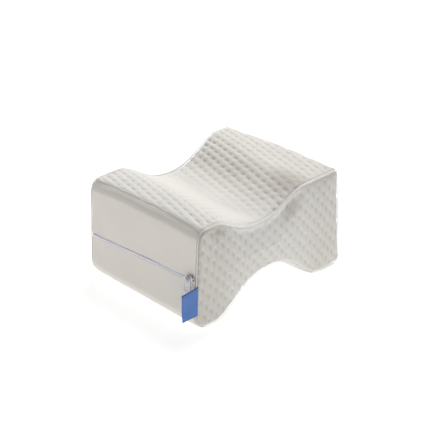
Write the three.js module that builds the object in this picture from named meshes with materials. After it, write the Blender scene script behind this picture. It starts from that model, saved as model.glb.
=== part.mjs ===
// Knee pillow: an hourglass foam pillow in a quilted knit cover, with a smooth zipped end panel.
// Millimetres. X runs along the hourglass section, Y across the pillow, Z is up.
// Shapes are worked out in the straight pillow, with X from the zipped end and Y from the front side,
// and then settled: the crown rises and the end walls lean. The finished group stands on Z = 0,
// centred on its footprint.
import * as THREE from 'three';
import { mergeVertices } from 'three/addons/utils/BufferGeometryUtils.js';

// Overall size of the straight pillow
const LENGTH = 250;
const WIDTH = 200;
const LEFT_HEIGHT = 133.5;
const RIGHT_HEIGHT = 139.5;

// Rounded corners of the section
const TOP_LEFT_RADIUS = 16;
const TOP_RIGHT_RADIUS = 4.5;
const BOTTOM_LEFT_RADIUS = 20.5;
const BOTTOM_RIGHT_RADIUS = 14;
const TOP_SEAM_ANGLE = THREE.MathUtils.degToRad(128);

// The saddle on top for the upper leg. It lies a little askew, so it differs from front to back.
const SADDLE = {
  front: { centre: 105, halfLength: 75, depth: 24 },
  back: { centre: 133.5, halfLength: 87.5, depth: 32.5 },
};
const SADDLE_FULLNESS = 1.23;

// The arch below for the lower leg
const ARCH = { centre: 121.7, halfLength: 88.4, height: 42.7, fullness: 1.4 };

// How the soft pillow settles
const CROWN = 3.2;
const CROWN_POWER = 2.2;
const CROWN_FROM = 0.35;
const CROWN_FULL = 0.85;
const LEAN_REACH = 60;
const LEFT_LEAN = 5.9;
const RIGHT_LEAN = 12.5;
const SIDE_CROWN = 2.5;
const SIDE_CROWN_REACH = 30;

// Side seams: a rounded edge, a groove along the seam, and the thin welt that lies in it
const EDGE_RADIUS = 6.2;
const SEAM_INSET = 1.9;
const GROOVE_INSET = 3;
const WELT_INSET = 1.4;
const WELT_RADIUS = 0.9;
const WELT_SIDES = 6;

// End panel, in two halves with the zip between them
const PANEL_THICKNESS = 1.2;
const CLEARANCE = 0.3;
const PANEL_RECESS = 1.7;
const PANEL_SIDE_MARGIN = 5;
const PANEL_SEAM_MARGIN = 0.6;
const ZIP = { frontHeight: 68, fall: 9.8, upturn: 4.5, upturnReach: 14, slotHalf: 2.1 };

// Zip, slider and pull
const CHAIN = { width: 3, thickness: 1.4 };
const SLIDER = { length: 12, height: 8.6, thickness: 4, frontGap: 3.2, waist: 0.2, dome: 0.35 };
const PULL = { topWidth: 6, bottomWidth: 8.6, length: 19, thickness: 1.3, rise: 3.5, swing: 0.42 };

// Blank ribbon label, folded once and caught in the near upright seam
const LABEL = { reach: 25, rootHeight: 37.7, tipHeight: 35, centreHeight: 42.6, thickness: 1.2, swing: 2.2 };

// Steps along each direction of the body's surface
const STEPS = { length: 44, width: 26, height: 16 };
const PANEL_STEPS = { width: 16, height: 12 };
const EASE = { length: 0.35, width: 0.2, height: 0.5 };

// Tolerance for a box coordinate, stored in 32 bits, that lies at an end
const ROUNDING = 1e-6;

const { clamp, lerp } = THREE.MathUtils;

function atEnd(t) {
  return t < ROUNDING || t > 1 - ROUNDING;
}

// Closer steps near both ends: slope is how dense, 1 being even
function eased(t, slope) {
  return t - (1 - slope) * Math.sin(2 * Math.PI * t) / (2 * Math.PI);
}

// A smooth hollow or hump that is 1 at its middle and 0 at its ends
function bell(offset, fullness) {
  const u = Math.min(Math.abs(offset), 1);
  return 0.5 * (1 + Math.cos(Math.PI * u ** fullness));
}

const bottomLeft = { x: BOTTOM_LEFT_RADIUS, z: BOTTOM_LEFT_RADIUS, radius: BOTTOM_LEFT_RADIUS };
const bottomRight = { x: LENGTH - BOTTOM_RIGHT_RADIUS, z: BOTTOM_RIGHT_RADIUS, radius: BOTTOM_RIGHT_RADIUS };
const topLeft = { x: TOP_LEFT_RADIUS, z: LEFT_HEIGHT - TOP_LEFT_RADIUS, radius: TOP_LEFT_RADIUS };
const topRight = { x: LENGTH - TOP_RIGHT_RADIUS, z: RIGHT_HEIGHT - TOP_RIGHT_RADIUS, radius: TOP_RIGHT_RADIUS };

function onCorner(corner, angle, depth) {
  const reach = corner.radius - depth;
  return [corner.x + reach * Math.cos(angle), corner.z + reach * Math.sin(angle)];
}

function saddleHeight(x, across) {
  const { front, back } = SADDLE;
  const centre = lerp(front.centre, back.centre, across);
  const halfLength = lerp(front.halfLength, back.halfLength, across);
  const depth = lerp(front.depth, back.depth, across);
  const rise = (x - topLeft.x) / (topRight.x - topLeft.x);
  return lerp(LEFT_HEIGHT, RIGHT_HEIGHT, rise) - depth * bell((x - centre) / halfLength, SADDLE_FULLNESS);
}

function archHeight(x) {
  return ARCH.height * bell((x - ARCH.centre) / ARCH.halfLength, ARCH.fullness);
}

// A point below (outward -1) or above (outward 1) a height curve, depth away from it along its normal
function offHeight(height, x, depth, outward) {
  const step = 0.25;
  const slope = (height(x + step) - height(x - step)) / (2 * step);
  const scale = outward * depth / Math.hypot(1, slope);
  return [x - scale * slope, height(x) + scale];
}

// The four edges of the hourglass section, each from one corner's arc over its middle to the other's.
// They meet halfway round the corners, but at the end panel's seam on the top left one.
// Depth is how far inside the skin the point lies; across is 0 at the front side and 1 at the back.
const edges = {
  left: {
    start: { corner: bottomLeft, from: Math.PI * 1.25, to: Math.PI },
    length: topLeft.z - bottomLeft.z,
    middle: (t, depth) => [depth, lerp(bottomLeft.z, topLeft.z, t)],
    end: { corner: topLeft, from: Math.PI, to: TOP_SEAM_ANGLE },
  },
  right: {
    start: { corner: bottomRight, from: -Math.PI / 4, to: 0 },
    length: topRight.z - bottomRight.z,
    middle: (t, depth) => [LENGTH - depth, lerp(bottomRight.z, topRight.z, t)],
    end: { corner: topRight, from: 0, to: Math.PI / 4 },
  },
  top: {
    start: { corner: topLeft, from: TOP_SEAM_ANGLE, to: Math.PI / 2 },
    length: topRight.x - topLeft.x,
    middle: (t, depth, across) =>
      offHeight((x) => saddleHeight(x, across), lerp(topLeft.x, topRight.x, t), depth, -1),
    end: { corner: topRight, from: Math.PI / 2, to: Math.PI / 4 },
  },
  bottom: {
    start: { corner: bottomLeft, from: Math.PI * 1.25, to: Math.PI * 1.5 },
    length: bottomRight.x - bottomLeft.x,
    middle: (t, depth) => offHeight(archHeight, lerp(bottomLeft.x, bottomRight.x, t), depth, 1),
    end: { corner: bottomRight, from: -Math.PI / 2, to: -Math.PI / 4 },
  },
};

function arcLength(arc) {
  return arc.corner.radius * Math.abs(arc.to - arc.from);
}

function edgeLength(edge) {
  return arcLength(edge.start) + edge.length + arcLength(edge.end);
}

// The point a distance run along an edge, depth inside the skin
function onEdge(edge, run, depth, across) {
  const first = arcLength(edge.start);
  const last = arcLength(edge.end);
  if (run < first) {
    return onCorner(edge.start.corner, lerp(edge.start.from, edge.start.to, run / first), depth);
  }
  if (run <= first + edge.length) {
    return edge.middle((run - first) / edge.length, depth, across);
  }
  const t = (run - first - edge.length) / last;
  return onCorner(edge.end.corner, lerp(edge.end.from, edge.end.to, t), depth);
}

function edgeAt(name, t, depth, across) {
  const slope = name === 'top' || name === 'bottom' ? EASE.length : EASE.height;
  return onEdge(edges[name], eased(t, slope) * edgeLength(edges[name]), depth, across);
}

// A point inside the section, blended from its four edges
function inSection(u, w, depth, across) {
  const bottom = edgeAt('bottom', u, depth, across);
  const top = edgeAt('top', u, depth, across);
  const left = edgeAt('left', w, depth, across);
  const right = edgeAt('right', w, depth, across);
  const ends = [[0, 0], [1, 0], [0, 1], [1, 1]].map(
    ([cu, cw]) => edgeAt(cw ? 'top' : 'bottom', cu, depth, across));
  const du = eased(u, EASE.length);
  const dw = eased(w, EASE.height);
  return [0, 1].map((axis) => {
    const rows = lerp(bottom[axis], top[axis], dw) + lerp(left[axis], right[axis], du);
    const corners = lerp(lerp(ends[0][axis], ends[1][axis], du), lerp(ends[2][axis], ends[3][axis], du), dw);
    return rows - corners;
  });
}

// How far a rounded edge has fallen away at a distance from it
function rounded(distance) {
  const left = Math.max(EDGE_RADIUS - distance, 0);
  return EDGE_RADIUS - Math.sqrt(EDGE_RADIUS ** 2 - left ** 2);
}

// The straight pillow's point moved to where the soft one holds it
function settle(x, y, z) {
  const height = z / ((LEFT_HEIGHT + RIGHT_HEIGHT) / 2);
  const left = clamp(1 - x / LEAN_REACH, 0, 1) * LEFT_LEAN;
  const right = clamp(1 - (LENGTH - x) / LEAN_REACH, 0, 1) * RIGHT_LEAN;
  const middle = Math.max(1 - Math.abs(2 * y / WIDTH - 1) ** CROWN_POWER, 0);
  const raised = clamp((height - CROWN_FROM) / (CROWN_FULL - CROWN_FROM), 0, 1);
  return [x + (right - left) * (0.5 - height), y, z + CROWN * middle * raised];
}

// A closed box of faces with merged corners, its points moved one by one by the place function
function shapedBox(steps, place) {
  const box = new THREE.BoxGeometry(1, 1, 1, ...steps);
  box.deleteAttribute('normal');
  box.deleteAttribute('uv');
  const geometry = mergeVertices(box);
  movePoints(geometry, (x, y, z) => place(x + 0.5, y + 0.5, z + 0.5));
  return geometry;
}

function movePoints(geometry, place) {
  const points = geometry.getAttribute('position');
  for (let i = 0; i < points.count; i++) {
    points.setXYZ(i, ...settle(...place(points.getX(i), points.getY(i), points.getZ(i))));
  }
  geometry.computeVertexNormals();
}

// The filled body. On the band, each station across is the section at its rounded depth;
// the two sides are blended inside their seams, crowned, and fall away to the groove.
function bodyPoint(u, v, w) {
  const onSide = atEnd(v);
  const border = atEnd(u) || atEnd(w);
  const flip = (y) => (v > 0.5 ? WIDTH - y : y);
  if (onSide && border) {
    const [x, z] = bandPoint(u, w, GROOVE_INSET, v);
    return [x, flip(GROOVE_INSET), z];
  }
  if (onSide) {
    const [x, z] = inSection(u, w, SEAM_INSET, v);
    const reach = SEAM_INSET + seamDistance(u, w, v);
    const crown = SIDE_CROWN * (1 - Math.exp(-((reach / SIDE_CROWN_REACH) ** 2)));
    return [x, flip(rounded(reach) - crown), z];
  }
  const y = SEAM_INSET + (WIDTH - 2 * SEAM_INSET) * eased(v, EASE.width);
  const nearest = Math.min(y, WIDTH - y);
  const panelled = u < ROUNDING && nearest > GROOVE_INSET;
  const recess = panelled ? PANEL_RECESS : 0;
  const [x, z] = bandPoint(u, w, rounded(nearest) + recess, y / WIDTH);
  return [x, y, z];
}

// A point of the band that wraps the section's edges
function bandPoint(u, w, depth, across) {
  if (w < ROUNDING) return edgeAt('bottom', u, depth, across);
  if (w > 1 - ROUNDING) return edgeAt('top', u, depth, across);
  return edgeAt(u < 0.5 ? 'left' : 'right', w, depth, across);
}

// How far a point of the side lies from the nearest seam
function seamDistance(u, w, across) {
  const du = eased(u, EASE.length);
  const dw = eased(w, EASE.height);
  const low = edgeAt('bottom', u, SEAM_INSET, across);
  const high = edgeAt('top', u, SEAM_INSET, across);
  const span = Math.hypot(high[0] - low[0], high[1] - low[1]);
  return Math.min(du * LENGTH, (1 - du) * LENGTH, dw * span, (1 - dw) * span);
}

// The stations across at which the end panel and its zip are worked out
function panelStation(b) {
  return lerp(PANEL_SIDE_MARGIN, WIDTH - PANEL_SIDE_MARGIN, eased(b, EASE.height));
}

// One thin sheet of the end panel, from run low to run high up the left edge at each station across
function panelSheet(low, high) {
  return shapedBox([1, PANEL_STEPS.width, PANEL_STEPS.height], (a, b, c) => {
    const y = panelStation(b);
    const depth = rounded(Math.min(y, WIDTH - y)) + a * PANEL_THICKNESS;
    const [x, z] = onEdge(edges.left, lerp(low(y), high(y), c), depth, y / WIDTH);
    return [x, y, z];
  });
}

// The zip falls gently towards the back and turns up at the front corner
function zipHeight(y) {
  return ZIP.frontHeight - ZIP.fall * y / WIDTH + ZIP.upturn * Math.exp(-((y / ZIP.upturnReach) ** 2));
}

// The run up the left edge at which the zip crosses it
function zipRun(y) {
  return arcLength(edges.left.start) + zipHeight(y) - bottomLeft.z;
}

function lowerPanel() {
  return panelSheet(() => PANEL_SEAM_MARGIN, (y) => zipRun(y) - ZIP.slotHalf);
}

function upperPanel() {
  return panelSheet((y) => zipRun(y) + ZIP.slotHalf, () => edgeLength(edges.left) - PANEL_SEAM_MARGIN);
}

// The closed chain fills the slot between the two halves and stands a little proud of them
function zipChain() {
  return shapedBox([1, PANEL_STEPS.width, 1], (a, b, c) => {
    const y = panelStation(b);
    const depth = rounded(Math.min(y, WIDTH - y)) + PANEL_THICKNESS - (1 - a) * CHAIN.thickness;
    const [x, z] = onEdge(edges.left, zipRun(y) + (c - 0.5) * CHAIN.width, depth, y / WIDTH);
    return [x, y, z];
  });
}

// A round cord along one side seam, through the same stations as the body's groove
function seamWelt(across) {
  const around = [
    ...Array.from({ length: STEPS.length }, (_, i) => ['bottom', i / STEPS.length]),
    ...Array.from({ length: STEPS.height }, (_, i) => ['right', i / STEPS.height]),
    ...Array.from({ length: STEPS.length }, (_, i) => ['top', 1 - i / STEPS.length]),
    ...Array.from({ length: STEPS.height }, (_, i) => ['left', 1 - i / STEPS.height]),
  ];
  const ring = new THREE.TorusGeometry(2, 1, WELT_SIDES, around.length);
  const uv = ring.getAttribute('uv');
  const points = ring.getAttribute('position');
  for (let i = 0; i < points.count; i++) {
    const [name, t] = around[Math.round(uv.getX(i) * around.length) % around.length];
    const turn = 2 * Math.PI * uv.getY(i);
    const centre = edgeAt(name, t, WELT_INSET, across);
    const inner = edgeAt(name, t, WELT_INSET + 1, across);
    const out = WELT_RADIUS * Math.cos(turn);
    const y = across ? WIDTH - WELT_INSET : WELT_INSET;
    points.setXYZ(i, centre[0] - (inner[0] - centre[0]) * out, y - WELT_RADIUS * Math.sin(turn),
      centre[1] - (inner[1] - centre[1]) * out);
  }
  ring.deleteAttribute('normal');
  ring.deleteAttribute('uv');
  const geometry = mergeVertices(ring);
  movePoints(geometry, (x, y, z) => [x, y, z]);
  return geometry;
}

// The slider's domed body, waisted in its middle
function zipSlider() {
  return shapedBox([2, 4, 4], (a, b, c) => {
    const y = SLIDER.frontGap + SLIDER.length * b;
    const waist = 1 - SLIDER.waist * Math.sin(Math.PI * b);
    const domed = SLIDER.thickness * (1 - a) * (1 - SLIDER.dome * (2 * c - 1) ** 2);
    const z = zipHeight(y) + SLIDER.height * waist * (c - 0.5);
    return [sliderBack(y) - domed, y, z];
  });
}

// The slider clears the chain's outer face by the clearance
function sliderBack(y) {
  return rounded(Math.min(y, WIDTH - y)) + PANEL_THICKNESS - CHAIN.thickness - CLEARANCE;
}

// The tapered tab hangs in front of the slider, its far side swung a little outwards
function zipPull() {
  const middle = SLIDER.frontGap + SLIDER.length / 2;
  const front = sliderBack(middle) - SLIDER.thickness - CLEARANCE;
  return shapedBox([1, 3, 6], (a, b, c) => {
    const across = lerp(PULL.bottomWidth, PULL.topWidth, c) * b;
    const x = front - PULL.thickness * (1 - a) - PULL.swing * across;
    const z = zipHeight(middle) + PULL.rise - PULL.length * (1 - c);
    return [x, middle - PULL.topWidth / 2 + across, z];
  });
}

// The folded ribbon stands out from the seam and swings a little towards the front
function label() {
  return shapedBox([8, 1, 4], (a, b, c) => {
    const out = 1 - a;
    const height = lerp(LABEL.rootHeight, LABEL.tipHeight, out);
    const x = WELT_INSET - WELT_RADIUS - CLEARANCE - LABEL.reach * out;
    const y = SEAM_INSET + LABEL.thickness * (b - 0.5) - LABEL.swing * out ** 2;
    return [x, y, LABEL.centreHeight + height * (c - 0.5)];
  });
}

function piece(name, geometry, colour, roughness, metalness = 0) {
  const material = new THREE.MeshStandardMaterial({ color: colour, roughness, metalness });
  const mesh = new THREE.Mesh(geometry, material);
  mesh.name = name;
  return mesh;
}

const IVORY_KNIT = 0xe9e6e0;
const SMOOTH_KNIT = 0xe2ddd6;
const PALE_THREAD = 0xe8e8f2;
const DULL_STEEL = 0x9a9aa0;
const BLUE_RIBBON = 0x3c6ebe;

const pillow = new THREE.Group();
pillow.add(
  piece('pillow_body', shapedBox([STEPS.length, STEPS.width, STEPS.height], bodyPoint), IVORY_KNIT, 0.95),
  piece('end_panel_lower', lowerPanel(), SMOOTH_KNIT, 0.95),
  piece('end_panel_upper', upperPanel(), SMOOTH_KNIT, 0.95),
  piece('seam_welt_front', seamWelt(0), IVORY_KNIT, 0.9),
  piece('seam_welt_back', seamWelt(1), IVORY_KNIT, 0.9),
  piece('zip_chain', zipChain(), PALE_THREAD, 0.7),
  piece('zip_slider', zipSlider(), DULL_STEEL, 0.35, 1),
  piece('zip_pull', zipPull(), DULL_STEEL, 0.35, 1),
  piece('label', label(), BLUE_RIBBON, 0.8),
);

// Centre the group on its footprint
const bounds = new THREE.Box3().setFromObject(pillow);
pillow.position.set(-(bounds.min.x + bounds.max.x) / 2, -(bounds.min.y + bounds.max.y) / 2, -bounds.min.z);
pillow.updateMatrixWorld(true);

export default pillow;
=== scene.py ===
import math

import bmesh
import bpy
import numpy as np
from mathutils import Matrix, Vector, kdtree, noise


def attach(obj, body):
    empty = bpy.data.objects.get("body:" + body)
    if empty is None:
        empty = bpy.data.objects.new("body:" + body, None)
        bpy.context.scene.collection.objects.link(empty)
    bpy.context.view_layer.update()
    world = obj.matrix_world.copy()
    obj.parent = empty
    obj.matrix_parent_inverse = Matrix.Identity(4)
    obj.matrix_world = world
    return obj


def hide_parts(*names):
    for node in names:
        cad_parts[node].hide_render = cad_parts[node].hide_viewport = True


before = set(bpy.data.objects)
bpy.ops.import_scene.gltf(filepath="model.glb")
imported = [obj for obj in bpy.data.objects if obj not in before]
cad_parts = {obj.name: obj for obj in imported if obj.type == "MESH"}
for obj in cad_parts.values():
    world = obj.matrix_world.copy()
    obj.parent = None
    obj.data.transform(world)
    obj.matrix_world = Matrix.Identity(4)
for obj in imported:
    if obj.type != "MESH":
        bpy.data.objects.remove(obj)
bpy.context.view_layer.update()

# The view: the pillow stands on a plain pale floor, seen from above the corner between its zipped end
# and its labelled side, with a long lens.
view_azimuth = math.radians(-43.33)
view_elevation = math.radians(26.19)
view_distance = 1.478
view_target = Vector((0.0108, 0.0, 0.070))
view_right_offset = -0.0009
view_up_offset = 0.0070
lens_mm = 96.6

view_back = Vector((math.sin(view_azimuth) * math.cos(view_elevation),
                    -math.cos(view_azimuth) * math.cos(view_elevation),
                    math.sin(view_elevation)))
view_right = Vector((math.cos(view_azimuth), math.sin(view_azimuth), 0.0))
view_up = view_back.cross(view_right)
camera_data = bpy.data.cameras.new("camera")
camera_data.lens = lens_mm
camera = bpy.data.objects.new("camera", camera_data)
camera.location = (view_target + view_back * view_distance + view_right * view_right_offset
                   + view_up * view_up_offset)
camera.rotation_euler = (-view_back).to_track_quat("-Z", "Y").to_euler()
bpy.context.scene.collection.objects.link(camera)
bpy.context.scene.camera = camera

# The studio: a faintly glowing white table under a dim ceiling with a bright horizon, and one large
# soft light above, to the right and behind.
floor_size = 8.0
floor_grey = (0.50, 0.50, 0.50, 1)
floor_roughness = 0.9
floor_gloss = 0.1
floor_glow = 0.82
white = (1, 1, 1, 1)
horizon_light = 0.95
ceiling_light = 0.12
horizon_reach = 0.47
key_place = Vector((0.86, 0.38, 1.66))
key_aim = Vector((0, 0, 0.07))
key_size = 0.8
key_power = 34

bpy.ops.object.select_all(action="DESELECT")
bpy.ops.mesh.primitive_plane_add(size=floor_size, location=(0, 0, 0))
floor = bpy.context.object
floor.name = "floor"
floor_paint = bpy.data.materials.new("white table")
floor_paint.use_nodes = True
floor_shader = floor_paint.node_tree.nodes["Principled BSDF"]
floor_shader.inputs["Base Color"].default_value = floor_grey
floor_shader.inputs["Roughness"].default_value = floor_roughness
floor_shader.inputs["Specular IOR Level"].default_value = floor_gloss
floor_shader.inputs["Emission Color"].default_value = white
floor_shader.inputs["Emission Strength"].default_value = floor_glow
floor.data.materials.append(floor_paint)

sky = bpy.data.worlds.new("studio sky")
sky.use_nodes = True
sky_nodes = sky.node_tree.nodes
sky_links = sky.node_tree.links
sky_direction = sky_nodes.new("ShaderNodeTexCoord")
sky_height = sky_nodes.new("ShaderNodeSeparateXYZ")
sky_links.new(sky_direction.outputs["Generated"], sky_height.inputs["Vector"])
sky_fall = sky_nodes.new("ShaderNodeMapRange")
sky_fall.interpolation_type = "SMOOTHSTEP"
sky_fall.inputs["From Min"].default_value = 0.0
sky_fall.inputs["From Max"].default_value = horizon_reach
sky_fall.inputs["To Min"].default_value = horizon_light
sky_fall.inputs["To Max"].default_value = ceiling_light
sky_links.new(sky_height.outputs["Z"], sky_fall.inputs["Value"])
sky_links.new(sky_fall.outputs["Result"], sky_nodes["Background"].inputs["Strength"])
sky_nodes["Background"].inputs["Color"].default_value = white
bpy.context.scene.world = sky

key_lamp = bpy.data.lights.new("key", "AREA")
key_lamp.shape = "SQUARE"
key_lamp.size = key_size
key_lamp.energy = key_power
key_light = bpy.data.objects.new("key", key_lamp)
key_light.location = key_place
key_light.rotation_euler = (key_aim - key_place).to_track_quat("-Z", "Y").to_euler()
bpy.context.scene.collection.objects.link(key_light)
bpy.context.scene.view_settings.view_transform = "Standard"


# The pillow: one block of soft foam with its quilted air-layer knit cover drawn tight over it. The
# cover is cut as one band round the section and two hourglass sides, which puff up between the seams.
merge_reach = 1e-6
groove_place = 0.097
groove_reach = 0.0002
foot_reach = 0.0005
zipped_end_x = -0.106
puff_limit = 0.0011
puff_frames = 20
smallest_move = 1e-9
puff_quality = 6
puff_mass = 0.3
puff_stretch = 25
puff_bending = 2
puff_pressure = 4
noise_steps = (7.1, 3.7, 5.3)


def select_only(*pieces):
    """Select these pieces alone and make the first one active."""
    bpy.ops.object.select_all(action="DESELECT")
    for piece in pieces:
        piece.select_set(True)
    bpy.context.view_layer.objects.active = pieces[0]


def apply_modifier(piece, kind, **settings):
    select_only(piece)
    modifier = piece.modifiers.new(kind, kind)
    for key, value in settings.items():
        setattr(modifier, key, value)
    bpy.ops.object.modifier_apply(modifier=modifier.name)


def join_in_pairs(mesh):
    """Join triangles two by two: the squarest first, and at once where only one mate is left."""
    def skew(edge):
        a, b = edge.link_loops
        corners = [a.vert.co, b.link_loop_prev.vert.co, a.link_loop_next.vert.co, a.link_loop_prev.vert.co]
        sides = [(corners[(i + 1) % 4] - corners[i]).normalized() for i in range(4)]
        return max(abs(sides[i].dot(sides[i - 1])) for i in range(4))

    free = set(mesh.faces)
    shared = []

    def mates(face):
        return [(e, f) for e in face.edges for f in e.link_faces if f is not face and f in free]

    for edge in sorted(mesh.edges, key=skew):
        waiting = [(edge, *edge.link_faces)]
        while waiting:
            joint, one, other = waiting.pop()
            if one not in free or other not in free:
                continue
            free.discard(one)
            free.discard(other)
            shared.append(joint)
            for near in dict.fromkeys(f for face in (one, other) for _, f in mates(face)):
                choices = mates(near)
                if len(choices) == 1:
                    waiting.append((choices[0][0], near, choices[0][1]))
    bmesh.ops.dissolve_edges(mesh, edges=shared, use_verts=False)


def from_node(node, name):
    """A new piece with the node's mesh, its corners merged and its triangles joined to quads."""
    piece = bpy.data.objects.new(name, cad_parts[node].data.copy())
    piece.data.name = name
    piece.data.materials.clear()
    bpy.context.scene.collection.objects.link(piece)
    mesh = bmesh.new()
    mesh.from_mesh(piece.data)
    bmesh.ops.remove_doubles(mesh, verts=mesh.verts, dist=merge_reach)
    join_in_pairs(mesh)
    mesh.to_mesh(piece.data)
    mesh.free()
    return piece


def read_points(piece, what="co"):
    flat = np.empty(len(piece.data.vertices) * 3)
    piece.data.vertices.foreach_get(what, flat)
    return flat.reshape(-1, 3)


def set_points(piece, points):
    piece.data.vertices.foreach_set("co", np.asarray(points).ravel())
    piece.data.update()


def add_attribute(piece, name, values):
    attribute = piece.data.attributes.new(name, "FLOAT", "POINT")
    attribute.data.foreach_set("value", values.astype(np.float32))


def finer(piece, levels, kind="CATMULL_CLARK"):
    apply_modifier(piece, "SUBSURF", subdivision_type=kind, levels=levels, render_levels=levels)


def smoothstep(low, high, value):
    t = np.clip((value - low) / (high - low), 0, 1)
    return t * t * (3 - 2 * t)


def soft_spot(place, middle, half_size, power=2):
    """1 in the middle, falling off softly past the half size of each coordinate that is given."""
    return np.exp(-sum(((p - m) / h) ** power for p, m, h in zip(place, middle, half_size)))


def distance_to(points, others):
    tree = kdtree.KDTree(len(others))
    for i, p in enumerate(others):
        tree.insert(p, i)
    tree.balance()
    return np.array([tree.find(p)[2] for p in points])


def unevenness(points, scale, seed):
    """Soft random numbers between about -1 and 1 that vary over the scale, in metres."""
    shift = Vector([seed * step for step in noise_steps])
    return np.array([noise.noise(Vector(p) / scale + shift) for p in points])


pillow = from_node("pillow_body", "knee_pillow")
rest_points = read_points(pillow)
in_groove = np.abs(np.abs(rest_points[:, 1]) - groove_place) < groove_reach
groove_points = rest_points[in_groove]

# The air in the cover pushes its panels out while the seams, the feet and the zipped end hold still
held_still = in_groove | (rest_points[:, 2] < foot_reach) | (rest_points[:, 0] < zipped_end_x)
select_only(pillow)
pins = pillow.vertex_groups.new(name="held")
pins.add([int(i) for i in np.nonzero(held_still)[0]], 1.0, "REPLACE")
cloth = pillow.modifiers.new("puff", "CLOTH")
cloth.settings.quality = puff_quality
cloth.settings.mass = puff_mass
cloth.settings.tension_stiffness = puff_stretch
cloth.settings.compression_stiffness = puff_stretch
cloth.settings.bending_stiffness = puff_bending
cloth.settings.use_pressure = True
cloth.settings.uniform_pressure_force = puff_pressure
cloth.settings.effector_weights.gravity = 0
cloth.settings.vertex_group_mass = "held"
cloth.collision_settings.use_collision = False
for step in range(1, puff_frames + 1):
    bpy.context.scene.frame_set(step)
bpy.ops.object.modifier_apply(modifier="puff")
bpy.context.scene.frame_set(1)
pillow.vertex_groups.clear()
moved = read_points(pillow) - rest_points
length = np.linalg.norm(moved, axis=1, keepdims=True)
moved *= np.minimum(1, puff_limit / np.maximum(length, smallest_move))
puffed = rest_points + moved
puffed[:, 2] = np.maximum(puffed[:, 2], 0)
puffed[held_still] = rest_points[held_still]
set_points(pillow, puffed)

finer(pillow, levels=1)

# A closer, more even grid for the quilting: all rings of edges but the shortest are cut in three, and
# after that the longest ones in two
cuts_in_three = 2
cuts_in_two = 1
soften_share = 0.5
soften_rounds = 3


def ring_sizes(mesh):
    """For every edge, how many edges lie side by side in its ring, quad after quad round the mesh."""
    sizes = {}
    for first in mesh.edges:
        if first in sizes:
            continue
        ring = [first]
        loop = first.link_loops[0].link_loop_next.link_loop_next
        while loop.edge is not first:
            ring.append(loop.edge)
            loop = loop.link_loop_radial_next.link_loop_next.link_loop_next
        for edge in ring:
            sizes[edge] = len(ring)
    return sizes


grid = bmesh.new()
grid.from_mesh(pillow.data)
sizes = ring_sizes(grid)
shortest = min(sizes.values())
bmesh.ops.subdivide_edges(grid, edges=[e for e, count in sizes.items() if count != shortest],
                          cuts=cuts_in_three, use_grid_fill=True)
sizes = ring_sizes(grid)
longest = max(sizes.values())
bmesh.ops.subdivide_edges(grid, edges=[e for e, count in sizes.items() if count == longest],
                          cuts=cuts_in_two, use_grid_fill=True)
grid.to_mesh(pillow.data)
grid.free()
apply_modifier(pillow, "SMOOTH", factor=soften_share, iterations=soften_rounds)

# The hidden end under the zipped panels, and the underside a little, carry fewer faces
hidden_half_width = 0.090
hidden_facing = -0.8
below_facing = -0.5
below_share = 0.3
faces_kept = 0.81
spare_weight = 10
points = read_points(pillow)
normals = read_points(pillow, "normal")
hidden = (points[:, 0] < zipped_end_x) & (normals[:, 0] < hidden_facing)
hidden &= np.abs(points[:, 1]) < hidden_half_width
below = (normals[:, 2] < below_facing) & ~hidden
spare = pillow.vertex_groups.new(name="spare")
spare.add([int(i) for i in np.nonzero(hidden)[0]], 1.0, "REPLACE")
spare.add([int(i) for i in np.nonzero(below)[0]], below_share, "REPLACE")
apply_modifier(pillow, "DECIMATE", ratio=faces_kept, vertex_group="spare", vertex_group_factor=spare_weight)
pillow.vertex_groups.clear()

# Where each point of the cover lies on its own panel, in metres: along and across the band, or along
# and up a side. The run along the band is measured round the section in the pillow's middle.
middle_reach = 0.0004
section_centre = (0.010, 0.075)
section_stations = 1600
points = read_points(pillow)
normals = read_points(pillow, "normal")
along, depth, up = points.T
is_side = np.abs(depth) > groove_place
middle = points[np.abs(depth) < middle_reach][:, (0, 2)]
angle = np.arctan2(middle[:, 1] - section_centre[1], middle[:, 0] - section_centre[0])
section = middle[np.argsort(angle)]
section = np.vstack([section, section[:1]])
section_run = np.concatenate([[0], np.cumsum(np.hypot(*np.diff(section, axis=0).T))])
station_run = np.linspace(0, section_run[-1], section_stations, endpoint=False)
stations = kdtree.KDTree(section_stations)
for i, r in enumerate(station_run):
    station = (np.interp(r, section_run, section[:, 0]), 0, np.interp(r, section_run, section[:, 1]))
    stations.insert(station, i)
stations.balance()
run = np.array([station_run[stations.find((p[0], 0, p[2]))[1]] for p in points])

# The quilting: small tucks in staggered rows that lean a little, with a soft puff between them. Two
# counts of rows, in rows per metre of each direction of a panel, place every tuck at whole numbers.
rows_side = ((65.0, 59.0), (33.5, -79.0))
rows_band = ((26.0, 97.0), (52.0, -74.0))
start_side = (-0.388, -0.193)
start_band = (0.0, 0.0)
tuck_half_width = 0.0010
tuck_half_length_side = 0.0027
tuck_half_length_band = 0.0028
tuck_turn_side = math.radians(106)
tuck_turn_band = math.radians(-5)
tuck_depth = 0.0014
puff_depth_band = 0.0012
puff_depth_side = 0.0008
puff_shares_band = (0.58, 0.30, 0.12)
puff_shares_side = (0.32, 0.54, 0.14)


def rows(across, along, counts, start):
    return np.stack([across * c[0] + along * c[1] + s for c, s in zip(counts, start)], 1)


def tuck_form(counts, turn, half_length):
    """The three factors of a tuck's round-off, for squares and product of the distances in rows."""
    back = np.linalg.inv(np.array(counts))
    axes = np.array([[math.cos(turn), math.sin(turn)], [-math.sin(turn), math.cos(turn)]])
    scaled = (axes @ back) / np.array([[half_length], [tuck_half_width]])
    form = scaled.T @ scaled / 2
    return form[0, 0], 2 * form[0, 1], form[1, 1]


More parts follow.
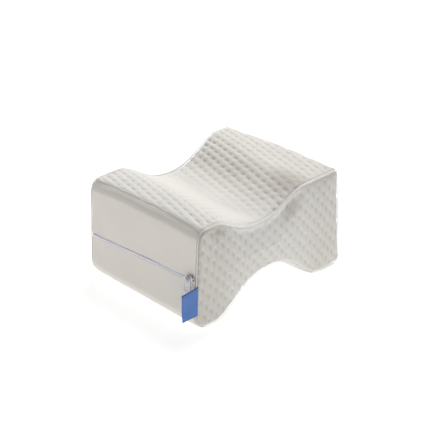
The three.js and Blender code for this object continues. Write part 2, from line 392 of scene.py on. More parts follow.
side_rows = rows(-along * np.sign(depth), up, rows_side, start_side)
band_rows = rows(depth, run, rows_band, start_band)
form_side = tuck_form(rows_side, tuck_turn_side, tuck_half_length_side)
form_band = tuck_form(rows_band, tuck_turn_band, tuck_half_length_band)
count = np.where(is_side[:, None], side_rows, band_rows)
form = np.where(is_side[:, None], form_side, form_band).T
off = (count - np.round(count)).T
tuck = np.exp(-(form[0] * off[0] ** 2 + form[1] * off[0] * off[1] + form[2] * off[1] ** 2))
turns = 2 * math.pi * count.T
shares = np.where(is_side[:, None], puff_shares_side, puff_shares_band).T
wave = shares[0] * np.cos(turns[0]) + shares[1] * np.cos(turns[0] + turns[1]) + shares[2] * np.cos(turns[1])

# The quilting fades into the seams and under the end panel's edge, lies stretched flat in the hollow of
# the saddle, and is shallower on the sides and on top of the humps
crease_lean = math.radians(52)
crease_step = 0.0001
near_end_x = -0.085
near_end_z = 0.10
panel_end_x = -0.1
panel_facing = -0.5
pillow_width = 0.2
flat_near_x = -0.0277
flat_drift = 0.0285
flat_half_length = 0.0255
flat_facing = 0.3
flat_share = 0.85
seam_fade = (0.0015, 0.0075)
crease_fade = (0.0015, 0.0080)
side_share = 0.70
hump_share = 0.58
hump_facing = (0.84, 0.96)

panel_edge = read_points(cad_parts["end_panel_upper"])
panel_rows = sorted({round(y, 4) for y in panel_edge[:, 1]})
crease = np.array([max((p for p in panel_edge if abs(p[1] - y) < crease_step), key=lambda p: p[2])
                   for y in panel_rows])


def above_crease(points):
    """How far a point near the zipped end lies above the crease where the quilting starts, in metres."""
    x = np.interp(points[:, 1], crease[:, 1], crease[:, 0])
    z = np.interp(points[:, 1], crease[:, 1], crease[:, 2])
    return (points[:, 0] - x) * math.sin(crease_lean) + (points[:, 2] - z) * math.cos(crease_lean)


seam_distance = distance_to(points, groove_points)
over = above_crease(points)
near_end = (along < near_end_x) & (up > near_end_z)
under_panel = (along < panel_end_x) & (normals[:, 0] < panel_facing) & ~(near_end & (over > 0))
flat_middle = flat_near_x + flat_drift * (depth / pillow_width + 0.5)
flat_hollow = soft_spot((along,), (flat_middle,), (flat_half_length,), power=4)
flat_hollow *= (normals[:, 2] > flat_facing) * ~is_side
quilted = smoothstep(*seam_fade, seam_distance) * (1 - flat_share * flat_hollow)
quilted *= np.where(under_panel, 0, 1) * np.where(near_end & ~is_side, smoothstep(*crease_fade, over), 1)
quilted *= np.where(is_side, side_share, 1 - (1 - hump_share) * smoothstep(*hump_facing, normals[:, 2]))
puff_depth = np.where(is_side, puff_depth_side, puff_depth_band)
hollow = quilted * (tuck_depth * tuck + puff_depth * (0.5 + 0.5 * wave))

# The band's lip rolls out over the end panel. The side rolls in under the seam along the saddle, and is
# drawn in deeper where the saddle climbs to the high end and in a small spot by the low hump.
lip_height = 0.0010
lip_place = 0.005
lip_half_width = 0.005
lip_start = (-0.0005, 0.0025)
climb_lean = math.radians(40)
climb_middle = (0.0438, 0.116)
climb_half_size = (0.017, 0.009)
climb_depth = 0.0042
saddle_middle_x = -0.005
saddle_half_length = 0.062
saddle_low_z = 0.075
roll_depth = 0.0036
roll_reach = 0.014
roll_start = (0.0, 0.010)
spot_middle = (-0.079, 0.1235)
spot_half_size = (0.010, 0.0055)
spot_depth = 0.0016
draw_start = (0.0, 0.004)
sag_depth = 0.0007
sag_scale = 0.045
sag_seed = 1
sag_start = (0.0, 0.01)
floor_reach = 0.0008


def by_saddle(points):
    """1 along the saddle's edges, falling off towards the humps."""
    reach = soft_spot((points[:, 0],), (saddle_middle_x,), (saddle_half_length,), power=4)
    return reach * (points[:, 2] > saddle_low_z)


lip = lip_height * soft_spot((over,), (lip_place,), (lip_half_width,)) * smoothstep(*lip_start, over)
lip = np.where(near_end & ~is_side, lip, 0)
from_climb = (along - climb_middle[0], up - climb_middle[1])
climb_along = from_climb[0] * math.cos(climb_lean) + from_climb[1] * math.sin(climb_lean)
climb_off = -from_climb[0] * math.sin(climb_lean) + from_climb[1] * math.cos(climb_lean)
in_saddle = by_saddle(points)
spot = soft_spot((along, up), spot_middle, spot_half_size)
drawn_in = climb_depth * soft_spot((climb_along, climb_off), (0, 0), climb_half_size) + spot_depth * spot
roll = roll_depth * np.exp(-seam_distance / roll_reach) * smoothstep(*roll_start, seam_distance)
drawn_in += roll * in_saddle
drawn_in *= is_side * smoothstep(*draw_start, seam_distance)
sag = sag_depth * unevenness(points, sag_scale, sag_seed) * smoothstep(*sag_start, seam_distance)
shift_out = lip - hollow - drawn_in + sag
shift_out = np.where(up < floor_reach, np.minimum(shift_out, 0), shift_out)
shaped = points + normals * shift_out[:, None]
shaped[:, 2] = np.maximum(shaped[:, 2], 0)
set_points(pillow, shaped)
select_only(pillow)
bpy.ops.object.shade_smooth()

# Painted shade in the cloth's colour, warm and darker: low on the slope and on the high hump, at the ends of
# the side, where the side is drawn in and in the groove of the near corner. Along the saddle's seam the side
# is painted lighter, a painted light.
slope_middle = (0.060, -0.085)
slope_half_size = (0.021, 0.042)
slope_share = 0.72
foot_middle_x = 0.056
foot_half_length = 0.017
foot_share = 0.27
high_hump = (0.070, 0.095)
high_hump_share = 0.19
low_end = (-0.035, -0.085)
low_end_share = 0.24
high_end = (0.060, 0.110)
high_end_share = 0.18
climb_shade_half_size = (0.019, 0.009)
climb_share = 0.36
spot_share = 0.35
corner_place = 0.0025
corner_half_width = 0.0025
corner_ends = (-0.098, -0.104)
corner_heights = (0.050, 0.065)
corner_share = 0.5
seam_light_reach = 0.008

slope_shade = slope_share * soft_spot((along, depth), slope_middle, slope_half_size)
slope_shade = np.maximum(slope_shade, foot_share * soft_spot((along,), (foot_middle_x,), (foot_half_length,)))
slope_shade = np.maximum(slope_shade, high_hump_share * smoothstep(*high_hump, along))
slope_shade *= ~is_side * (normals[:, 2] > flat_facing)
end_shade = low_end_share * smoothstep(*low_end, along) + high_end_share * smoothstep(*high_end, along)
end_shade *= is_side
climb_shade = is_side * soft_spot((climb_along, climb_off), (0, 0), climb_shade_half_size) * (depth < 0)
corner_shade = is_side * soft_spot((seam_distance,), (corner_place,), (corner_half_width,))
corner_shade *= smoothstep(*corner_ends, along) * smoothstep(*corner_heights, up)
seam_light = is_side * np.exp(-seam_distance / seam_light_reach) * in_saddle
# Painted shade summed from these masks, less a painted light along the saddle's seam
painted_cloth_shade = np.clip(slope_shade + end_shade + climb_share * climb_shade + spot_share * spot * is_side
                      + corner_share * corner_shade, 0, 1)
painted_cloth_shade = painted_cloth_shade - seam_light * (1 - np.clip(climb_shade + spot, 0, 1))
add_attribute(pillow, "painted_shade_and_light", painted_cloth_shade)
add_attribute(pillow, "quilting", quilted)
add_attribute(pillow, "on_side", is_side)

# The counts of rows become the cover's UV map, each face with those of its own panel
cloth_map = pillow.data.uv_layers.new(name="cloth")
corner_point = np.empty(len(pillow.data.loops), dtype=int)
pillow.data.loops.foreach_get("vertex_index", corner_point)
corner_total = np.array([p.loop_total for p in pillow.data.polygons])
corner_start = np.array([p.loop_start for p in pillow.data.polygons])
face_of_corner = np.repeat(np.arange(len(corner_total)), corner_total)
face_place = np.add.reduceat(np.abs(depth[corner_point]), corner_start) / corner_total
corner_side = (face_place > groove_place)[face_of_corner]
cloth_uv = np.where(corner_side[:, None], side_rows[corner_point], band_rows[corner_point])
cloth_map.data.foreach_set("uv", cloth_uv.astype(np.float32).ravel())


class Recipe:
    """A material's nodes, added one after another."""
    def __init__(self, name):
        self.material = bpy.data.materials.new(name)
        self.material.use_nodes = True
        self.tree = self.material.node_tree
        self.shader = self.tree.nodes["Principled BSDF"]

    def add(self, kind, inputs=None, **settings):
        node = self.tree.nodes.new("ShaderNode" + kind)
        for key, value in settings.items():
            setattr(node, key, value)
        for key, value in (inputs or {}).items():
            self.feed(node.inputs[key], value)
        return node

    def feed(self, socket, value):
        if isinstance(value, bpy.types.NodeSocket):
            self.tree.links.new(value, socket)
        else:
            socket.default_value = value

    def calc(self, operation, *values):
        return self.add("Math", dict(enumerate(values)), operation=operation).outputs[0]

    def times(self, one, other):
        return self.calc("MULTIPLY", one, other)

    def plus(self, one, other):
        return self.calc("ADD", one, other)

    def threads(self, value, count):
        """Rounded ridges with sharp valleys, so many of them for each unit of the value."""
        return self.calc("ABSOLUTE", self.calc("SINE", self.times(value, math.pi * count)))

    def place(self):
        return self.add("TexCoord").outputs["Object"]

    def marks(self, place, scale, detail):
        return self.add("TexNoise", {"Vector": place, "Scale": scale, "Detail": detail}).outputs["Fac"]

    def attribute(self, name):
        return self.add("Attribute", attribute_name=name).outputs["Fac"]

    def mix(self, factor, low, high):
        """A blend of two colours, which sit on the node's sockets 6 and 7 and come out at 2."""
        node = self.add("Mix", {"Factor": factor}, data_type="RGBA")
        for socket, value in ((node.inputs[6], low), (node.inputs[7], high)):
            self.feed(socket, value)
        return node.outputs[2]

    def bump(self, height, distance, strength):
        node = self.add("Bump", {"Height": height, "Distance": distance, "Strength": strength})
        self.feed(self.shader.inputs["Normal"], node.outputs["Normal"])

    def set(self, **values):
        for key, value in values.items():
            self.feed(self.shader.inputs[key.replace("_", " ")], value)


cloth_roughness = 0.95
cloth_sheen = 0.10
cloth_sheen_roughness = 0.6
cloth_gloss = 0.12
loop_fold = 0.5
loop_lean = 1.2
loops_per_row = 11.0
ivory_dark = (0.765, 0.742, 0.695, 1)
ivory_light = (0.808, 0.788, 0.748, 1)
ivory_loop = (0.85, 0.83, 0.80, 1)
ivory_loop_share = 0.22
# Colour of the painted shade in the tucks, partly also the denser knit where the layers are tied
tuck_shade_colour = (0.50, 0.465, 0.41, 1)
tuck_shade_share = 0.40
# Colours of the painted shade over the cover and of the painted light along the saddle's seam
shade_colour = (0.50, 0.455, 0.395, 1)
seam_light_colour = (0.95, 0.94, 0.92, 1)
ivory_clouds = {"scale": 16.0, "detail": 3.0}
ivory_fuzz = {"scale": 1400.0, "detail": 2.0}
knit_relief = 0.30
fuzz_relief = 0.25
tuck_relief = 1.2
ivory_bump = {"distance": 0.0006, "strength": 0.6}


def knit_loops(recipe, across, along):
    """Rows of small V-shaped loops: 1 on the yarn and 0 between, from counts of loops each way."""
    leaning = recipe.plus(along, recipe.times(recipe.calc("PINGPONG", across, loop_fold), loop_lean))
    return recipe.times(recipe.threads(leaning, 1), recipe.threads(across, 1))


quilt = Recipe("quilted knit")
cloth_place = quilt.add("UVMap", uv_map="cloth").outputs["UV"]
row_counts = quilt.add("SeparateXYZ", {"Vector": cloth_place})
first_count, second_count = row_counts.outputs["X"], row_counts.outputs["Y"]
on_side_share = quilt.attribute("on_side")
own_form = [quilt.calc("MULTIPLY_ADD", on_side_share, a - b, b) for a, b in zip(form_side, form_band)]
off_first, off_second = (quilt.calc("WRAP", c, 0.5, -0.5) for c in (first_count, second_count))
off_squares = [quilt.times(off_first, off_first), quilt.times(off_first, off_second),
               quilt.times(off_second, off_second)]
terms = [quilt.times(square, factor) for square, factor in zip(off_squares, own_form)]
tuck_mark = quilt.calc("EXPONENT", quilt.times(quilt.plus(quilt.plus(terms[0], terms[1]), terms[2]), -1.0))
tuck_shade = quilt.times(tuck_mark, quilt.attribute("quilting"))
knit = knit_loops(quilt, quilt.times(first_count, loops_per_row), quilt.times(second_count, loops_per_row))
quilt_place = quilt.place()
fuzz = quilt.marks(quilt_place, **ivory_fuzz)
painted_shade_and_light = quilt.attribute("painted_shade_and_light")
ivory = quilt.mix(quilt.marks(quilt_place, **ivory_clouds), ivory_dark, ivory_light)
ivory = quilt.mix(quilt.times(knit, ivory_loop_share), ivory, ivory_loop)
# Painted shade in each tuck's hollow, partly also the denser knit where the layers are tied
ivory = quilt.mix(quilt.times(tuck_shade, tuck_shade_share), ivory, tuck_shade_colour)
# Painted shade darkens the ivory where the attribute is above zero; below zero, painted light lifts it along
# the saddle's seam
ivory = quilt.mix(painted_shade_and_light, ivory, shade_colour)
ivory = quilt.mix(quilt.times(painted_shade_and_light, -1.0), ivory, seam_light_colour)
quilt.set(Base_Color=ivory, Roughness=cloth_roughness, Sheen_Weight=cloth_sheen,
          Sheen_Roughness=cloth_sheen_roughness, Specular_IOR_Level=cloth_gloss)
fuzz_and_tucks = quilt.calc("SUBTRACT", quilt.times(fuzz, fuzz_relief), quilt.times(tuck_shade, tuck_relief))
quilt.bump(quilt.plus(quilt.times(knit, knit_relief), fuzz_and_tucks), **ivory_bump)
pillow.data.materials.append(quilt.material)
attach(pillow, "root")
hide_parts("pillow_body")


# The end panel: two strips of smooth, unquilted jersey across the zipped end. Each is hemmed along the
# zip, tucked under the quilted lip at the top, and caught in the side seams.
corner_top = (-0.0966, 0.1190)
corner_low = (-0.0920, 0.0205)
panel_seam = (0.080, 0.0950)
panel_seam_spread = 0.0018
panel_seam_drop = 0.0004
panel_sag = 0.0006
panel_sag_scale = 0.030
panel_sag_seed = 3
panel_ripple = 0.0004
panel_ripple_scale = 0.010
panel_ripple_stretch = (1, 1, 0.3)
panel_ripple_seed = 4
panel_top_z = 0.1
crease_offset = 0.0005
crease_shade_reach = 0.0042
crease_shade_share = 0.12
tuck_reach = 0.0020
tuck_rise = 0.0022
tuck_sink = 0.0004
wales_per_metre = 1100.0
courses_per_metre = 1300.0
jersey_dark = (0.870, 0.822, 0.760, 1)
jersey_light = (0.905, 0.858, 0.800, 1)
jersey_loop = (0.93, 0.89, 0.84, 1)
jersey_loop_share = 0.2
jersey_crease_shade_colour = (0.66, 0.60, 0.52, 1)
jersey_clouds = {"scale": 22.0, "detail": 3.0}
jersey_bump = {"distance": 0.0003, "strength": 0.5}

jersey = Recipe("smooth jersey")
jersey_place = jersey.place()
jersey_axes = jersey.add("SeparateXYZ", {"Vector": jersey_place})
jersey_loops = knit_loops(jersey, jersey.times(jersey_axes.outputs["Y"], wales_per_metre),
                          jersey.times(jersey_axes.outputs["Z"], courses_per_metre))
jersey_colour = jersey.mix(jersey.marks(jersey_place, **jersey_clouds), jersey_dark, jersey_light)
jersey_colour = jersey.mix(jersey.times(jersey_loops, jersey_loop_share), jersey_colour, jersey_loop)
# Painted shade darkens the jersey just below the quilted lip's crease
jersey_colour = jersey.mix(jersey.times(jersey.attribute("crease_shade"), crease_shade_share), jersey_colour,
                           jersey_crease_shade_colour)
jersey.set(Base_Color=jersey_colour, Roughness=cloth_roughness, Sheen_Weight=cloth_sheen,
           Sheen_Roughness=cloth_sheen_roughness, Specular_IOR_Level=cloth_gloss)
jersey.bump(jersey_loops, **jersey_bump)


def outward(points):
    """The direction that faces out of the zipped end at each point, round its two rounded edges."""
    away = np.tile((-1.0, 0.0, 0.0), (len(points), 1))
    above, below = points[:, 2] > corner_top[1], points[:, 2] < corner_low[1]
    for centre, beyond in ((corner_top, above), (corner_low, below)):
        away[beyond, 0] = points[beyond, 0] - centre[0]
        away[beyond, 2] = points[beyond, 2] - centre[1]
    return away / np.linalg.norm(away, axis=1, keepdims=True)


def end_panel(node, name):
    panel = from_node(node, name)
    finer(panel, levels=1, kind="SIMPLE")
    finer(panel, levels=2)
    points = read_points(panel)
    away = outward(points)
    by_seam = smoothstep(*panel_seam, np.abs(points[:, 1]))
    below_crease = np.minimum(above_crease(points) + crease_offset, 0)
    # Where the painted shade below the crease falls, kept as the crease_shade attribute
    near_crease = np.exp(-(below_crease / crease_shade_reach) ** 2) * (points[:, 2] > panel_top_z)
    out = (panel_sag * unevenness(points, panel_sag_scale, panel_sag_seed)
           + panel_ripple * unevenness(points * panel_ripple_stretch, panel_ripple_scale, panel_ripple_seed))
    points = points + away * out[:, None]
    under_lip = soft_spot((above_crease(points),), (crease_offset,), (tuck_reach,))
    under_lip *= points[:, 2] > panel_top_z
    points[:, 0] += under_lip * tuck_rise * math.sin(crease_lean)
    points[:, 2] += under_lip * tuck_rise * math.cos(crease_lean)
    points -= away * under_lip[:, None] * tuck_sink
    points[:, 1] += np.sign(points[:, 1]) * by_seam * panel_seam_spread
    points[:, 0] += by_seam ** 3 * panel_seam_drop
    set_points(panel, points)
    select_only(panel)
    bpy.ops.object.shade_smooth()
    add_attribute(panel, "crease_shade", near_crease)
    panel.data.materials.append(jersey.material)
    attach(panel, "root")
    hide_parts(node)


end_panel("end_panel_lower", "end_cloth_lower")
end_panel("end_panel_upper", "end_cloth_upper")


# The side seams: the edges of band and side are sewn together over a thin soft cord, which stands as a
# fine pale line all round each hourglass side. It is a little fuller in the saddle than under the arch.
cord_trim = 0.00012
cord_arch_trim = 0.00028
cord_saddle_gain = 0.00070
arch_heights = (0.078, 0.060)
arch_ends = (0.110, 0.095)
cord_dark = (0.83, 0.825, 0.81, 1)
cord_light = (0.91, 0.905, 0.89, 1)
cord_roughness = 0.9
cord_gloss = 0.15
cord_twist = {"scale": 900.0, "detail": 2.0}
cord_bump = {"distance": 0.0004, "strength": 0.5}

cord_cloth = Recipe("seam cord")
cord_marks = cord_cloth.marks(cord_cloth.place(), **cord_twist)
cord_cloth.set(Base_Color=cord_cloth.mix(cord_marks, cord_dark, cord_light), Roughness=cord_roughness,
               Specular_IOR_Level=cord_gloss)
cord_cloth.bump(cord_marks, **cord_bump)


def seam_cord(node, name):
    cord = from_node(node, name)
    finer(cord, levels=1)
    points = read_points(cord)
    in_arch = smoothstep(*arch_heights, points[:, 2]) * smoothstep(*arch_ends, np.abs(points[:, 0]))
    trim = cord_trim + cord_arch_trim * in_arch - cord_saddle_gain * by_saddle(points)
    set_points(cord, points - read_points(cord, "normal") * trim[:, None])
    select_only(cord)
    bpy.ops.object.shade_smooth()
    cord.data.materials.append(cord_cloth.material)
    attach(cord, "root")
    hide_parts(node)


seam_cord("seam_welt_front", "seam_cord_front")
seam_cord("seam_welt_back", "seam_cord_back")


# The label: a blue satin ribbon folded in two at its tip, both ends caught in the near upright seam. It
# is woven with a fine rib and a firmer, darker edge along its top and bottom.
label_root_x = -0.1112
label_tip_x = -0.1378
label_middle_z = 0.0424
label_height_root = 0.0377
label_height_tip = 0.0352
label_lean_y = -0.1003
label_sweep_y = -0.0012
label_root_bend = 0.0017
label_root_reach = 0.07
label_tip_lean = 0.0006
label_tip_lift = 0.0002
label_wave = 0.00040
label_wave_count = 1.1
label_wave_start = 0.15
label_wave_turn = 1.3
label_gap_share = 0.5
layer_offset = 0.00042
fold_offset = 0.00070
fold_reach = 0.10
ribbon_thickness = 0.00034
ribbon_smooth = math.radians(50)
steps_out = 36
steps_fold = 8
steps_up = 30
ribs = 75
picks = 150
rib_relief = 0.6
pick_relief = 0.4
rib_share = 0.25
edge_start = 0.465
edge_share = 0.55
satin_dark = (0.062, 0.170, 0.490, 1)
satin_light = (0.085, 0.215, 0.590, 1)
satin_rib = (0.120, 0.270, 0.660, 1)
satin_edge = (0.030, 0.085, 0.300, 1)
satin_roughness = 0.55
satin_gloss = 0.35
satin_sheen = 0.15
satin_clouds = {"scale": 120.0, "detail": 3.0}
satin_bump = {"distance": 0.00015, "strength": 0.6}

ribbon_line = []
for i in range(steps_out + 1):
    share = i / steps_out
    bulb = layer_offset + (fold_offset - layer_offset) * math.exp(-((1 - share) / fold_reach) ** 2)
    ribbon_line.append((share, 0.0, -bulb))
for i in range(1, steps_fold):
    turn = math.pi * i / steps_fold
    ribbon_line.append((1.0, math.sin(turn) * fold_offset, -math.cos(turn) * fold_offset))
ribbon_line += [(share, 0.0, -aside) for share, _, aside in reversed(ribbon_line[:steps_out + 1])]

ribbon_mesh = bmesh.new()
ribbon_rows = []
for share, beyond, aside in ribbon_line:
    x = label_root_x + (label_tip_x - label_root_x) * share - beyond
    root_bend = label_root_bend * math.exp(-(share / label_root_reach) ** 2)
    y = label_lean_y + label_sweep_y * share ** 2 + root_bend
    height = label_height_root + (label_height_tip - label_height_root) * share
    row = []
    for j in range(steps_up + 1):
        above = j / steps_up - 0.5
        wave_turn = 2 * math.pi * (above * label_wave_count + label_wave_start) + label_wave_turn * share
        gap = 1 + label_gap_share * math.cos(math.pi * above) * math.sin(math.pi * share)
        row.append(ribbon_mesh.verts.new((x - label_tip_lean * above * share,
                                          y + aside * gap + label_wave * share * math.sin(wave_turn),
                                          label_middle_z + above * height + label_tip_lift * share)))
    ribbon_rows.append(row)
ribbon_uv = ribbon_mesh.loops.layers.uv.new("ribbon")
for i in range(len(ribbon_rows) - 1):
    for j in range(steps_up):
        corners = ((i, j), (i + 1, j), (i + 1, j + 1), (i, j + 1))
        face = ribbon_mesh.faces.new([ribbon_rows[a][b] for a, b in corners])
        for loop, (a, b) in zip(face.loops, corners):
            loop[ribbon_uv].uv = (a / (len(ribbon_rows) - 1), b / steps_up)
label_data = bpy.data.meshes.new("side_label")
ribbon_mesh.to_mesh(label_data)
ribbon_mesh.free()
label = bpy.data.objects.new("side_label", label_data)
bpy.context.scene.collection.objects.link(label)


def face_outwards(piece, merge=False):
    select_only(piece)
    bpy.ops.object.mode_set(mode="EDIT")
    bpy.ops.mesh.select_all(action="SELECT")
    if merge:
        bpy.ops.mesh.remove_doubles(threshold=merge_reach)
    bpy.ops.mesh.normals_make_consistent(inside=False)
    bpy.ops.object.mode_set(mode="OBJECT")


apply_modifier(label, "SOLIDIFY", thickness=ribbon_thickness, offset=0)
face_outwards(label)
bpy.ops.object.shade_smooth_by_angle(angle=ribbon_smooth)

satin = Recipe("blue satin ribbon")
ribbon_place = satin.add("SeparateXYZ", {"Vector": satin.add("UVMap", uv_map="ribbon").outputs["UV"]})
ribbon_along, ribbon_up = ribbon_place.outputs["X"], ribbon_place.outputs["Y"]
satin_ribs = satin.threads(ribbon_up, ribs)
satin_picks = satin.threads(ribbon_along, picks)
from_middle = satin.calc("ABSOLUTE", satin.calc("SUBTRACT", ribbon_up, 0.5))
on_edge = satin.calc("GREATER_THAN", from_middle, edge_start)
satin_colour = satin.mix(satin.marks(satin.place(), **satin_clouds), satin_dark, satin_light)
satin_colour = satin.mix(satin.times(satin_ribs, rib_share), satin_colour, satin_rib)
satin_colour = satin.mix(satin.times(on_edge, edge_share), satin_colour, satin_edge)
satin.set(Base_Color=satin_colour, Roughness=satin_roughness, Specular_IOR_Level=satin_gloss,
          Sheen_Weight=satin_sheen)
satin_weave = satin.plus(satin.times(satin_ribs, rib_relief), satin.times(satin_picks, pick_relief))
satin.bump(satin_weave, **satin_bump)
label.data.materials.append(satin.material)
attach(label, "root")
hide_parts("label")


# The zip: a narrow woven tape that shows between the two jersey hems, with the closed nylon coils sewn
# on its middle. One coil is modelled, repeated along the zip, and laid along the tape's curve.
tape_row_reach = 0.0001
tape_half_height = 0.00155
tape_widening = 1.30
tape_face_reach = 0.0008
tape_curl = 0.0005
tape_smooth = math.radians(40)
coil_pitch = 0.0013
coil_first_y = -0.0940
coil_count = 145
coil_radii = (0.00042, 0.00036, 0.00085)
coil_segments = 12
coil_rings = 8
coil_lean = math.radians(14)
coil_offset = 0.00060
coil_rise = 0.00005

tape = from_node("zip_chain", "zip_tape")
tape_points = read_points(tape)
tape_line = []
for y in sorted({round(y, 4) for y in tape_points[:, 1]}):
    tape_row = tape_points[np.abs(tape_points[:, 1] - y) < tape_row_reach]
    tape_line.append((tape_row[:, 0].min(), y, tape_row[:, 2].mean()))
line_face, line_y, line_middle = np.array(tape_line).T
finer(tape, levels=2, kind="SIMPLE")
tape_points = read_points(tape)
tape_middle = np.interp(tape_points[:, 1], line_y, line_middle)
tape_off = (tape_points[:, 2] - tape_middle) / tape_half_height
in_face = tape_points[:, 0] < np.interp(tape_points[:, 1], line_y, line_face) + tape_face_reach
tape_points[:, 2] = tape_middle + (tape_points[:, 2] - tape_middle) * tape_widening
tape_points[:, 0] += np.where(in_face, tape_curl * tape_off ** 2, 0)
set_points(tape, tape_points)
select_only(tape)
bpy.ops.object.shade_smooth_by_angle(angle=tape_smooth)

coil_rows = []
for side in (-1, 1):
    bpy.ops.object.select_all(action="DESELECT")
    bpy.ops.mesh.primitive_uv_sphere_add(
        segments=coil_segments, ring_count=coil_rings, radius=1, rotation=(coil_lean * side, 0, 0),
        location=(0, coil_first_y + (side + 1) * coil_pitch / 4, coil_offset * side), scale=coil_radii)
    coil = bpy.context.object
    bpy.ops.object.transform_apply(location=True, rotation=True, scale=True)
    apply_modifier(coil, "ARRAY", count=coil_count, use_relative_offset=False, use_constant_offset=True,
                   constant_offset_displace=(0, coil_pitch, 0))
    coil_rows.append(coil)
select_only(*coil_rows)
bpy.ops.object.join()
coils = bpy.context.object
coils.name = coils.data.name = "zip_coils"
coil_points = read_points(coils)
coil_points[:, 0] += np.interp(coil_points[:, 1], line_y, line_face) - coil_rise
coil_points[:, 2] += np.interp(coil_points[:, 1], line_y, line_middle)
set_points(coils, coil_points)
bpy.ops.object.origin_set(type="ORIGIN_CURSOR")
bpy.ops.object.shade_smooth()

tape_threads_per_metre = 2400
tape_dark = (0.87, 0.87, 0.96, 1)
tape_light = (0.92, 0.92, 0.99, 1)
tape_roughness = 0.85
tape_gloss = 0.15
tape_bump = {"distance": 0.0002, "strength": 0.5}
nylon_dark = (0.88, 0.88, 0.96, 1)
nylon_light = (0.94, 0.94, 0.99, 1)
nylon_roughness = 0.45
nylon_gloss = 0.35
nylon_clouds = {"scale": 800.0, "detail": 2.0}
nylon_bump = {"distance": 0.0001, "strength": 0.4}

tape_weave = Recipe("zip tape")
tape_axes = tape_weave.add("SeparateXYZ", {"Vector": tape_weave.place()})
tape_threads = tape_weave.threads(tape_weave.plus(tape_axes.outputs["Y"], tape_axes.outputs["Z"]),
                                  tape_threads_per_metre)
tape_weave.set(Base_Color=tape_weave.mix(tape_threads, tape_dark, tape_light), Roughness=tape_roughness,
               Specular_IOR_Level=tape_gloss)
tape_weave.bump(tape_threads, **tape_bump)
tape.data.materials.append(tape_weave.material)
nylon = Recipe("lavender nylon coil")
nylon_marks = nylon.marks(nylon.place(), **nylon_clouds)
nylon.set(Base_Color=nylon.mix(nylon_marks, nylon_dark, nylon_light), Roughness=nylon_roughness,
          Specular_IOR_Level=nylon_gloss)
nylon.bump(nylon_marks, **nylon_bump)
coils.data.materials.append(nylon.material)
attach(tape, "root")
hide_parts("zip_chain")
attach(coils, "root")


# The slider: a cast metal shell closed round the chain, with a waisted face plate, two turned-in flanges,
# a lower plate behind the chain and a hoop on its face that carries the pull.
slider_middle = Vector((-0.1166, -0.0908, 0.0707))
slider_lean = math.radians(-15.5)
plate_half_length = 0.0060
plate_half_width = 0.0043
plate_taper = 0.16
plate_taper_from = (-0.2, 1.0)
plate_waist = 0.05
plate_waist_reach = 0.35
plate_nose = 0.18
plate_rise_fall = 0.6
face_rise = 0.0005
edge_segments = 3
hoop_place = (-0.0033, 0, 0.00195)
hoop_radius = 0.00165
hoop_wire = 0.00052
hoop_segments = 40
hoop_wire_segments = 14
hoop_stretch = 1.35
metal_smooth = math.radians(35)


def metal_block(name, place, size, edge, levels=2):
    """A block with rounded edges, placed along, across and out of the slider."""
    bpy.ops.object.select_all(action="DESELECT")
    bpy.ops.mesh.primitive_cube_add(size=1, location=place, scale=size)
    block = bpy.context.object
    block.name = block.data.name = name
    bpy.ops.object.transform_apply(location=True, rotation=True, scale=True)
    apply_modifier(block, "BEVEL", width=edge, segments=edge_segments, limit_method="NONE")
    finer(block, levels, kind="SIMPLE")
    return block


def waisted(block, rise=0.0):
    """Draw the block in towards its back end and round its face."""
    points = read_points(block)
    along = points[:, 1] / plate_half_length
    waist = plate_waist * soft_spot((along,), (0,), (plate_waist_reach,))
    points[:, 2] *= 1 - plate_taper * smoothstep(*plate_taper_from, along) - waist
    points[:, 2] *= np.where(along < 0, 1 - plate_nose * along ** 4, 1)
    points[:, 0] -= rise * (1 - (points[:, 2] / plate_half_width) ** 2) * (1 - plate_rise_fall * along ** 2)
    set_points(block, points)
    return block


face_plate = waisted(metal_block("zip_slider_cast", place=(-0.00135, 0, 0), size=(0.0012, 0.0120, 0.0086),
                                 edge=0.00045, levels=3), face_rise)
back_plate = waisted(metal_block("back_plate", place=(0.0019, 0, 0), size=(0.0010, 0.0116, 0.0082),
                                 edge=0.0004))
slider_parts = [face_plate, back_plate]
for side in (-1, 1):
    slider_parts.append(waisted(metal_block("flange", place=(-0.0004, 0, 0.0038 * side),
                                            size=(0.0024, 0.0112, 0.0009), edge=0.0003)))
slider_parts.append(metal_block("divider", place=(0.0004, -0.0047, 0), size=(0.0034, 0.0020, 0.0022),
                                edge=0.0005))
bpy.ops.object.select_all(action="DESELECT")
bpy.ops.mesh.primitive_torus_add(location=hoop_place, rotation=(math.pi / 2, 0, 0),
                                 major_segments=hoop_segments, minor_segments=hoop_wire_segments,
                                 major_radius=hoop_radius, minor_radius=hoop_wire)
hoop = bpy.context.object
bpy.ops.object.transform_apply(location=True, rotation=True, scale=True)
hoop_points = read_points(hoop)
hoop_points[:, 0] = hoop_place[0] + (hoop_points[:, 0] - hoop_place[0]) * hoop_stretch
set_points(hoop, hoop_points)
select_only(*slider_parts, hoop)
bpy.ops.object.join()
slider = bpy.context.object
bpy.ops.transform.rotate(value=-slider_lean, orient_axis="X", center_override=(0, 0, 0))
bpy.ops.transform.translate(value=slider_middle)
bpy.ops.object.transform_apply(location=True, rotation=True, scale=True)
bpy.ops.object.shade_smooth_by_angle(angle=metal_smooth)

cast_dark = (0.50, 0.50, 0.525, 1)
cast_light = (0.66, 0.66, 0.70, 1)
cast_metal = 0.75
cast_roughness = {"To Min": 0.34, "To Max": 0.52}
cast_clouds = {"scale": 420.0, "detail": 4.0}
cast_grain = {"scale": 2600.0, "detail": 2.0}
cast_bump = {"distance": 0.00006, "strength": 0.5}

cast = Recipe("dull cast metal")
cast_place = cast.place()
cast_marks = cast.marks(cast_place, **cast_clouds)
cast.set(Base_Color=cast.mix(cast_marks, cast_dark, cast_light), Metallic=cast_metal,
         Roughness=cast.add("MapRange", {"Value": cast_marks, **cast_roughness}).outputs["Result"])
cast.bump(cast.marks(cast_place, **cast_grain), **cast_bump)
slider.data.materials.append(cast.material)
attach(slider, "root")
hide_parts("zip_slider")


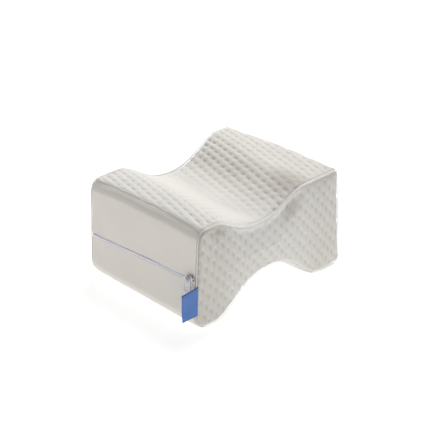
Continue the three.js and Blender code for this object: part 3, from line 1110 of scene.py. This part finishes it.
# The pull: a stamped metal tab, wider towards its lower end, with a raised rim, an eye that hangs in the
# slider's hoop and an opening near the lower end through which the jersey shows.
pull_length = 0.0190
pull_half_top = 0.0033
pull_half_low = 0.0047
pull_corner = 0.0022
pull_thickness = 0.0008
pull_rim = 0.0009
pull_rim_corner = 0.0014
pull_rim_rise = 0.00022
pull_edge = 0.00016
pull_edge_steps = 2
pull_corner_steps = 8
pull_top = Vector((-0.1202, -0.0912, 0.0733))
pull_across = Vector((-0.42, 1, 0)).normalized()
pull_rough_up = Vector((0.043, 0.085, 1))


def tapered(top, low, half_top, half_low, corner):
    """The outline of a plate that widens from its top to its low end, its four corners short arcs."""
    corners = ((-half_top, top), (half_top, top), (half_low, low), (-half_low, low))
    line = []
    for i in range(4):
        tip, before, after = (Vector(corners[k % 4]) for k in (i, i - 1, i + 1))
        to_before, to_after = (before - tip).normalized(), (after - tip).normalized()
        half = to_before.angle(to_after) / 2
        middle = tip + (to_before + to_after).normalized() * corner / math.sin(half)
        start = tip + to_before * corner / math.tan(half) - middle
        end = tip + to_after * corner / math.tan(half) - middle
        for k in range(pull_corner_steps + 1):
            line.append(middle + start.lerp(end, k / pull_corner_steps).normalized() * corner)
    return line


def stamped(name, outlines, thickness):
    """A flat plate cut to its outlines, the first one outside and the others its openings."""
    curve = bpy.data.curves.new(name, "CURVE")
    curve.dimensions = "2D"
    curve.fill_mode = "BOTH"
    curve.extrude = thickness / 2 - pull_edge
    curve.bevel_depth = pull_edge
    curve.bevel_resolution = pull_edge_steps
    curve.offset = -pull_edge
    for outline in outlines:
        spline = curve.splines.new("POLY")
        spline.points.add(len(outline) - 1)
        for point, place in zip(spline.points, outline):
            point.co = (place[0], place[1], 0, 1)
        spline.use_cyclic_u = True
    plate = bpy.data.objects.new(name, curve)
    bpy.context.scene.collection.objects.link(plate)
    select_only(plate)
    bpy.ops.object.convert(target="MESH")
    plate = bpy.context.object
    face_outwards(plate, merge=True)
    return plate


outer_line = tapered(0, -pull_length, pull_half_top, pull_half_low, pull_corner)
rim_line = tapered(-pull_rim, -pull_length + pull_rim, pull_half_top - pull_rim, pull_half_low - pull_rim,
                   pull_rim_corner)
eye_line = tapered(top=-0.0013, low=-0.0042, half_top=0.0019, half_low=0.0020, corner=0.0009)
opening_line = tapered(top=-0.0118, low=-0.0165, half_top=0.0024, half_low=0.0028, corner=0.0017)
pull = stamped("zip_pull_tab", (outer_line, eye_line, opening_line), pull_thickness)
rim = stamped("rim", (outer_line, rim_line), pull_thickness + 2 * pull_rim_rise)
select_only(pull, rim)
bpy.ops.object.join()
pull_up = (pull_rough_up - pull_across * pull_rough_up.dot(pull_across)).normalized()
pull_axes = np.array([pull_across, pull_up, pull_across.cross(pull_up)])
set_points(pull, np.array(pull_top) + read_points(pull) @ pull_axes)
face_outwards(pull)
bpy.ops.object.shade_smooth_by_angle(angle=metal_smooth)
pull.data.materials.append(cast.material)
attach(pull, "root")
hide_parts("zip_pull")
